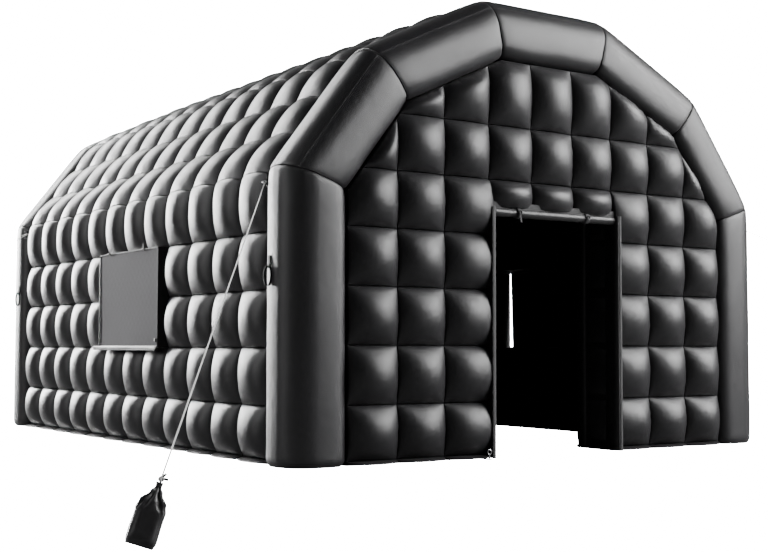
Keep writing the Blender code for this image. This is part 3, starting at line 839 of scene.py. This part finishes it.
def loop_points(middle, first, second, count=24, turns=1.0, rise=None):
    """Points round an ellipse between two half axes, climbing by rise where one is given."""
    points = []
    for i in range(round(count * turns) + 1):
        turn = 2 * math.pi * i / count
        point = middle + math.cos(turn) * first + math.sin(turn) * second
        if rise is not None:
            point = point + rise * (i / count / turns - 0.5)
        points.append(point)
    return points


# Guy ropes and sandbags

def bag_place(side, end):
    """Where a bag stands: turned, leaning towards the tent, its lowest point on the ground."""
    lean = Matrix.Rotation(-side * BAG_LEAN, 4, "Y")
    turn = Matrix.Rotation(side * end * BAG_TURN, 4, "Z")
    corners = [Vector((x * BAG_HALF_WIDTH * 0.86, y * BAG_HALF_DEPTH * 0.80, 0)) for x in (-1, 1) for y in (-1, 1)]
    lowest = min((lean @ turn @ corner).z for corner in corners)
    return Matrix.Translation((side * BAG_X, end * BAG_Y, -lowest)) @ lean @ turn


# Height up the bag, then its width and its depth there as shares of the widest.
BAG_LEVELS = [(0.0, 0.90, 0.85), (0.03, 1.0, 1.0), (0.15, 0.98, 0.95), (0.19, 0.78, 0.80), (0.235, 0.36, 0.48),
              (0.262, 0.14, 0.22), (BAG_LENGTH, 0.22, 0.34)]


def bag_size(height):
    """Width and depth of the bag at a height, smoothly between its levels."""
    for (low, wide_a, deep_a), (high, wide_b, deep_b) in zip(BAG_LEVELS[:-1], BAG_LEVELS[1:]):
        if height <= high:
            t = (height - low) / (high - low)
            t = t * t * (3 - 2 * t)
            return wide_a + (wide_b - wide_a) * t, deep_a + (deep_b - deep_a) * t
    return BAG_LEVELS[-1][1:]


def sandbag(name, side, end):
    """A cloth bag full of sand, square at the bottom and gathered in folds to its tied neck."""
    place = bag_place(side, end)
    bm = bmesh.new()
    flat = bm.verts.layers.float_vector.new("flat_place")
    around, up = 72, 48
    for vert, i, j in grid(bm, around, up):
        turn = 2 * math.pi * i / around
        height = BAG_LENGTH * j / up
        wide, deep = bag_size(height)
        c, s = math.cos(turn), math.sin(turn)
        square = 0.5 if height < 0.16 else 0.5 + 0.4 * min((height - 0.16) / 0.06, 1.0)
        gather = min(max((height - 0.145) / 0.05, 0.0), 1.0)
        fold = 1 + gather * 0.16 * math.sin(11 * turn + 1.3 * math.sin(2 * turn))
        dent = 0.004 * noise.noise(Vector((c * 2, s * 2, height * 14 + side + 2 * end)))
        x = math.copysign(abs(c) ** square, c) * BAG_HALF_WIDTH * wide * fold + dent * c
        y = math.copysign(abs(s) ** square, s) * BAG_HALF_DEPTH * deep * fold + dent * s
        vert.co = place @ Vector((x, y, height))
        vert[flat] = Vector((turn * BAG_HALF_WIDTH, height, 0))
    lay_flat(bm, lambda vert: vert[flat].xy)
    bmesh.ops.remove_doubles(bm, verts=bm.verts[:], dist=1e-6)
    bmesh.ops.holes_fill(bm, edges=[edge for edge in bm.edges if edge.is_boundary])
    made = piece(f"{name}_cloth", bm, BAG, [name], sharp=55)


def ring_seat(side, end):
    """Place on the post that carries the ring, and the direction out from it."""
    out, deep = tube_section(math.pi / 4)
    point = Vector((side * (HALF_ROOM + TUBE_WIDTH / 2 + out), end * (ARCH_Y - deep), RING_HEIGHT))
    return point, Vector((side * TUBE_DEPTH, -end * TUBE_WIDTH, 0)).normalized()


def ring(name, middle, turn, radius, wire, finish, nodes=()):
    """A round wire ring, spun from a small circle."""
    bm = bmesh.new()
    upright = Matrix.Translation((radius, 0, 0)) @ Matrix.Rotation(math.pi / 2, 4, "X")
    circle = bmesh.ops.create_circle(bm, segments=12, radius=wire, matrix=upright)
    edges = list({edge for vert in circle["verts"] for edge in vert.link_edges})
    bmesh.ops.spin(bm, geom=edges, cent=(0, 0, 0), axis=(0, 0, 1), angle=2 * math.pi, steps=36, use_merge=True)
    bmesh.ops.remove_doubles(bm, verts=bm.verts[:], dist=1e-6)
    bmesh.ops.transform(bm, matrix=Matrix.Translation(middle) @ turn, verts=bm.verts[:])
    return piece(name, bm, finish, nodes)


def guy(name, side, end):
    """A taut white rope from its webbing patch and ring on the post down to the bag's neck, tied at both ends."""
    seat, normal = ring_seat(side, end)
    middle = seat + normal * (0.006 + RING_RADIUS)
    knot = bag_place(side, end) @ Vector((0, 0, BAG_LENGTH + KNOT_RADIUS))
    run = (knot - middle).normalized()
    level = Vector((normal.y, -normal.x, 0)) * side * end
    turn = normal.cross(run).normalized().to_track_quat("Z", "Y").to_matrix().to_4x4()
    start = middle + run * RING_RADIUS
    cord_along(f"{name}_line", [start, knot], ROPE_RADIUS, BRAID, nodes=[name], step=0.05)
    ring(f"{name}_ring", middle, turn, RING_RADIUS, RING_WIRE, STEEL)
    top = seat + normal * 0.004
    path = [top + Vector((0, 0, 0.055)), top + Vector((0, 0, -0.040))]
    cord_along(f"{name}_patch", path, (0.034, 0.004), PATCH_WITH_PAINTED_GLINTS, across=level, square=6.0, step=0.008,
               sides=24)
    path = [top + normal * 0.006 + Vector((0, 0, 0.045)), top + normal * 0.012 + Vector((0, 0, 0.002))]
    cord_along(f"{name}_tab", path, (0.012, 0.004), WEBBING, across=level, square=5.0, step=0.008)
    wrap = start + run * 0.012
    path = loop_points(wrap, level * 0.0085, level.cross(run) * 0.0085, 14, 3.0, run * 0.024)
    cord_along(f"{name}_wraps", path, 0.0038, BRAID, step=0.004, sides=8)
    for label, drift in (("short", level * 0.045 + Vector((0, 0, 0.014))), ("long", level * -0.050 + run * -0.012)):
        path = [start, start + drift * 0.5 + normal * 0.006, start + drift]
        cord_along(f"{name}_{label}_end", path, 0.0036, BRAID, step=0.006, sides=8)
    bag_tie(name, side, end, knot, run)


def bag_tie(name, side, end, knot, run):
    """The rope's knot over the bag, and the dark drawcord tied round the bag's neck with two loose ends."""
    place = bag_place(side, end)
    lie = run.cross(Vector((0, 0, 1))).normalized()
    other = run.cross(lie)
    for number, (first, second) in enumerate(((lie, other), (other, run))):
        path = loop_points(knot, first * 0.010, second * 0.010, 16, 2.0, run * 0.008)
        cord_along(f"{name}_knot_{number}", path, 0.0042, BRAID, step=0.004, sides=8)
    neck = place @ Vector((0, 0, BAG_LENGTH - 0.017))
    wide = (place.to_3x3() @ Vector((1, 0, 0))) * 0.012
    deep = (place.to_3x3() @ Vector((0, 1, 0))) * 0.013
    rise = (place.to_3x3() @ Vector((0, 0, 1))) * 0.012
    path = loop_points(neck, wide, deep, 16, 2.0, rise)
    cord_along(f"{name}_drawcord", path, 0.004, WEBBING, step=0.004, sides=8)
    for number, (across, lift) in enumerate(((0.022, 0.022), (0.030, -0.004))):
        tip = knot + lie * side * across + Vector((0, 0, lift))
        path = [knot, knot.lerp(tip, 0.5) + run * -0.004, tip]
        cord_along(f"{name}_drawcord_end_{number}", path, (0.0065, 0.004), WEBBING, step=0.006, sides=8)


# Door curtain

def curtain():
    """The door's curtain: one sheet wound up under the head, on the strip it hangs from."""
    half = DOOR_HALF - 0.004
    turns = 9.0
    core = 0.006
    bm = bmesh.new()
    flat = bm.verts.layers.float_vector.new("flat_place")
    along, wound = 60, 216
    length = 0.0
    last = None
    runs = []
    for j in range(wound + 1):
        angle = 2 * math.pi * turns * j / wound
        radius = core + (CURTAIN_RADIUS - core) * j / wound
        point = Vector((radius * math.cos(angle), radius * math.sin(angle)))
        if last is not None:
            length += (point - last).length
        runs.append(length)
        last = point
    for vert, i, j in grid(bm, along, wound):
        x = -half + 2 * half * i / along
        angle = 2 * math.pi * turns * j / wound
        radius = core + (CURTAIN_RADIUS - core) * j / wound
        pinch = 1 - 0.10 * math.exp(-((x + 0.46) / 0.03) ** 2) - 0.10 * math.exp(-((x - 0.28) / 0.03) ** 2)
        lump = 1 + 0.05 * noise.noise(Vector((x * 4, angle * 0.3, 2.2)))
        r = radius * pinch * lump
        vert.co = Vector((x, CURTAIN_Y + r * math.cos(angle), CURTAIN_Z + r * math.sin(angle)))
        vert[flat] = Vector((x, runs[j], 0))
    lay_flat(bm, lambda vert: vert[flat].xy)
    roll = piece("door_curtain_roll", bm, LINING, ["door_curtain"], sharp=60)


def door_fittings():
    """Strip and piping over the roll, its ties and end tab, padded jambs, piping and straps beside the doorway."""
    made = []
    along = Vector((1, 0, 0))
    upright = Vector((0, 0, 1))
    axis = Vector((0, CURTAIN_Y, CURTAIN_Z))
    half = DOOR_HALF
    head = [Vector((x, CURTAIN_Y - 0.012, DOOR_TOP + 0.012)) for x in (-half - 0.02, half + 0.02)]
    cord_along("door_head_strip", head, (0.004, 0.030), WEBBING, across=Vector((0, -1, 0)), square=6.0)
    edge = [point + Vector((0, -0.004, -0.026)) for point in head]
    cord_along("door_head_piping", edge, 0.0045, PIPING_AND_SILL_HIGHLIGHT)
    for label, x, finish, wide in (("left", -0.40, WEBBING, 0.016), ("right", 0.34, TAPE, 0.020)):
        middle = axis + along * x
        path = loop_points(middle, Vector((0, 0.042, 0)), Vector((0, 0, 0.042)))
        cord_along(f"door_roll_tie_{label}", path, (wide, 0.0025), finish, across=along, square=6.0,
                   closed=True, step=0.01)
        knot = middle + Vector((0.004, -0.045, 0.004))
        path = loop_points(knot, Vector((0.013, 0, 0)), Vector((0, 0, 0.016)), 16)
        cord_along(f"door_roll_buckle_{label}", path, 0.0045, finish, closed=True, step=0.01)
    tail = [axis + Vector((-0.40, -0.044, -0.01)), axis + Vector((-0.392, -0.050, -0.075))]
    cord_along("door_roll_tie_tail", tail, (0.009, 0.002), WEBBING, across=along, square=5.0)
    tab = [axis + Vector((half, -0.012, 0.0)), axis + Vector((half + 0.055, -0.016, -0.022))]
    cord_along("door_roll_end_tab", tab, (0.014, 0.003), WEBBING, across=upright, square=5.0)
    eye = axis + Vector((-half + 0.012, -0.038, 0.002))
    ring("door_roll_end_ring", eye, Matrix.Rotation(math.pi / 2, 4, "X"), 0.011, 0.003, PIPING_AND_SILL_HIGHLIGHT)
    back = -END_SEAM_Y + END_THICK
    for label, side in (("left", -1), ("right", 1)):
        face = side * (half - 0.002)
        inner = [Vector((face, back - 0.055, z)) for z in (0.004, DOOR_TOP - 0.004)]
        pad = cord_along(f"door_jamb_{label}_rear_pad", inner, (0.052, 0.022), BLACK, sides=28,
                         across=Vector((0, 1, 0)), square=2.4, step=0.03)
        outer = [Vector((face + side * 0.012, -END_SEAM_Y - 0.015, z)) for z in (0.004, DOOR_TOP - 0.004)]
        pad = cord_along(f"door_jamb_{label}_front_pad", outer, (0.078, 0.020), BLACK, sides=28,
                         across=Vector((0, 1, 0)), square=2.6, step=0.03)
        flat = [Vector((face + side * 0.010, -END_SEAM_Y + 0.19, z)) for z in (0.004, DOOR_TOP - 0.004)]
        cord_along(f"door_jamb_{label}_face", flat, (0.165, 0.006), LINING, sides=28,
                   across=Vector((0, 1, 0)), square=8.0, step=0.05)
        line = [Vector((face + side * 0.008, -END_SEAM_Y - 0.098, z)) for z in (0.004, DOOR_TOP - 0.004)]
        cord_along(f"door_{label}_piping", line, 0.0055, PIPING_AND_SILL_HIGHLIGHT)
        strap = [point + Vector((side * 0.018, -0.004, 0)) for point in line]
        cord_along(f"door_{label}_welt", strap, (0.014, 0.006), WEBBING, across=along, square=4.0)
    return made


# Trims along the ground, patches and carrying loops

def base_piping():
    """A thin light cord along the hem of every wall."""
    out = HALF_ROOM + WALL_OUT + 0.004
    for label, side in (("left", -1), ("right", 1)):
        path = [Vector((side * out, y, 0.012)) for y in (-SIDE_HALF + 0.01, SIDE_HALF - 0.01)]
        cord_along(f"{label}_wall_base_piping", path, 0.0045, PIPING_AND_SILL_HIGHLIGHT, step=0.1)
    front = -END_SEAM_Y - 0.004
    for label, start, stop in (("left", -HALF_ROOM, -DOOR_HALF), ("right", DOOR_HALF, HALF_ROOM)):
        path = [Vector((start + 0.01, front, 0.012)), Vector((stop - 0.01, front, 0.012))]
        cord_along(f"front_wall_{label}_base_piping", path, 0.0045, PIPING_AND_SILL_HIGHLIGHT, step=0.1)
    path = [Vector((x, END_SEAM_Y + 0.004, 0.012)) for x in (-HALF_ROOM + 0.01, HALF_ROOM - 0.01)]
    cord_along("rear_wall_base_piping", path, 0.0045, PIPING_AND_SILL_HIGHLIGHT, step=0.1)


def post_loop(name, side, end):
    """A stitched webbing patch with a carrying loop, part way up the outer face of a post."""
    face = side * (HALF_ROOM + TUBE_WIDTH + 0.002)
    y = end * (ARCH_Y - 0.080)
    out = Vector((side, 0, 0))
    along = Vector((0, 1, 0))
    path = [Vector((face, y, 1.535)), Vector((face + side * 0.004, y, 1.440))]
    cord_along(f"{name}_patch", path, (0.019, 0.0035), WEBBING, across=along, square=6.0, step=0.01)
    middle = Vector((face + side * 0.012, y, 1.385))
    path = loop_points(middle, Vector((side * 0.010, 0.034, 0)), Vector((0, 0, 0.072)), 32)
    cord_along(f"{name}_loop", path, (0.010, 0.0035), WEBBING, across=out, square=4.0, closed=True,
               step=0.01)


def air_inlet():
    """The blower's sleeve at the back: a short limp tube tied off with a cord."""
    start = END_SEAM_Y + 0.105
    x_middle = 3 * CELL
    stations = [(0.0, 0.072, 0.072), (0.06, 0.078, 0.076), (0.30, 0.083, 0.064), (0.44, 0.052, 0.032),
                (0.50, 0.019, 0.017), (0.56, 0.044, 0.021)]
    bm = bmesh.new()
    flat = bm.verts.layers.float_vector.new("flat_place")
    around, rows = 64, 60
    for vert, i, j in grid(bm, around, rows):
        out = stations[-1][0] * j / rows
        for (a, wide_a, high_a), (b, wide_b, high_b) in zip(stations[:-1], stations[1:]):
            if out <= b + 1e-9:
                t = (out - a) / (b - a)
                t = t * t * (3 - 2 * t)
                wide = wide_a + (wide_b - wide_a) * t
                high = high_a + (high_b - high_a) * t
                break
        turn = 2 * math.pi * i / around
        gather = math.exp(-((out - 0.50) / 0.12) ** 2)
        fold = 1 + 0.22 * gather * math.sin(9 * turn + math.sin(3 * turn))
        crease = 0.004 * noise.noise(Vector((math.cos(turn) * 2, math.sin(turn) * 2, out * 14)))
        vert.co = Vector((x_middle + (wide * fold + crease) * math.cos(turn), start + out,
                          high * 1.03 + (high * fold + crease) * math.sin(turn) + 0.001))
        vert.co.z = max(vert.co.z, 0.001)
        vert[flat] = Vector((turn * 0.08, out, 0))
    lay_flat(bm, lambda vert: vert[flat].xy)
    bmesh.ops.remove_doubles(bm, verts=bm.verts[:], dist=1e-6)
    bmesh.ops.holes_fill(bm, edges=[edge for edge in bm.edges if edge.is_boundary])
    piece("air_inlet_sleeve_cloth", bm, BLACK, ["air_inlet_sleeve"], sharp=60)
    middle = Vector((x_middle, start + 0.50, 0.019))
    path = loop_points(middle, Vector((0.024, 0, 0)), Vector((0, 0, 0.018)), 20, 2.0, Vector((0, 0.012, 0)))
    cord_along("air_inlet_tie", path, 0.0035, WEBBING, step=0.01)


# Studio

def camera():
    """The camera at the photograph's place."""
    lens = bpy.data.cameras.new("camera")
    lens.sensor_width = 36.0
    lens.lens = 59.62
    lens.clip_end = 300.0
    eye = bpy.data.objects.new("camera", lens)
    eye.location = (-6.955, -10.993, 0.864)
    turn = Matrix.Rotation(math.radians(-33.896), 3, "Z") @ Matrix.Rotation(math.radians(93.22), 3, "X")
    eye.rotation_euler = (turn @ Matrix.Rotation(math.radians(0.12), 3, "Z")).to_euler()
    bpy.context.scene.collection.objects.link(eye)
    bpy.context.scene.camera = eye


def soft_light(name, place, target, size, power):
    """A large soft panel light."""
    lamp = bpy.data.lights.new(name, "AREA")
    lamp.shape = "RECTANGLE"
    lamp.size, lamp.size_y = size
    lamp.energy = power
    made = bpy.data.objects.new(name, lamp)
    made.location = place
    made.rotation_euler = (Vector(target) - Vector(place)).to_track_quat("-Z", "Y").to_euler()
    made.visible_camera = False
    bpy.context.scene.collection.objects.link(made)


FILL = 0.06                # brightness of the surround as a light
WHITE = 40.0               # brightness of the plain background, where the view shows white


def studio():
    """Pale floor, white surround and soft panels behind on the left, in front on the right and overhead."""
    soft_light("rear_left_panel", (-6.0, 19.0, 5.5), (-2.2, 0.0, 1.5), (3.0, 8.0), 10000)
    soft_light("rear_top_panel", (-6.0, 14.0, 13.0), (-1.0, 0.0, 3.0), (8.0, 4.0), 5000)
    soft_light("front_right_panel", (12.0, -11.0, 8.0), (0.5, -3.0, 1.5), (9.0, 8.0), 6000)
    soft_light("left_panel", (-18.0, 0.0, 9.0), (-2.0, 0.0, 1.5), (8.0, 8.0), 1400)
    world = bpy.data.worlds.new("surround")
    bpy.context.scene.world = world
    world.use_nodes = True
    tree = world.node_tree
    path = tree.nodes.new("ShaderNodeLightPath")
    back = tree.nodes["Background"]
    back.inputs["Color"].default_value = (1, 1, 1, 1)
    strength = math_node(tree, "ADD", math_node(tree, "MULTIPLY", path.outputs["Is Camera Ray"], WHITE - FILL), FILL)
    tree.links.new(strength, back.inputs["Strength"])
    bm = bmesh.new()
    bmesh.ops.create_circle(bm, cap_ends=True, segments=64, radius=140.0)
    mesh = bpy.data.meshes.new("floor")
    bm.to_mesh(mesh)
    bm.free()
    floor = bpy.data.objects.new("floor", mesh)
    bpy.context.scene.collection.objects.link(floor)
    made, tree, shader = new_material("pale_floor")
    path = tree.nodes.new("ShaderNodeLightPath")
    shader.inputs["Roughness"].default_value = 0.9
    mix = tree.nodes.new("ShaderNodeMix")
    mix.data_type = "RGBA"
    tree.links.new(path.outputs["Is Camera Ray"], mix.inputs["Factor"])
    mix.inputs["A"].default_value = (0.16, 0.16, 0.16, 1)
    mix.inputs["B"].default_value = (0.9, 0.9, 0.9, 1)
    tree.links.new(mix.outputs["Result"], shader.inputs["Base Color"])
    shader.inputs["Emission Color"].default_value = (1, 1, 1, 1)
    tree.links.new(math_node(tree, "MULTIPLY", path.outputs["Is Camera Ray"], WHITE * 0.8),
                   shader.inputs["Emission Strength"])
    mesh.materials.append(made)


def build():
    """Everything."""
    camera()
    studio()
    side_wall("left", 0)
    side_wall("right", LAST_EDGE)
    for k, name in enumerate(ROOF_PIECES, start=1):
        roof_panel(k, name)
    end_walls()
    arches()
    window("left", 0)
    window("right", LAST_EDGE)
    curtain()
    door_fittings()
    base_piping()
    air_inlet()
    anchor_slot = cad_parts["door_anchor"].material_slots[0]
    anchor_slot.link = "OBJECT"
    anchor_slot.material = STEEL
    for end_name, end in (("front", -1), ("rear", 1)):
        for side_name, side in (("left", -1), ("right", 1)):
            guy(f"guy_rope_{end_name}_{side_name}", side, end)
            sandbag(f"sandbag_{end_name}_{side_name}", side, end)
            post_loop(f"{end_name}_{side_name}_post", side, end)


build()
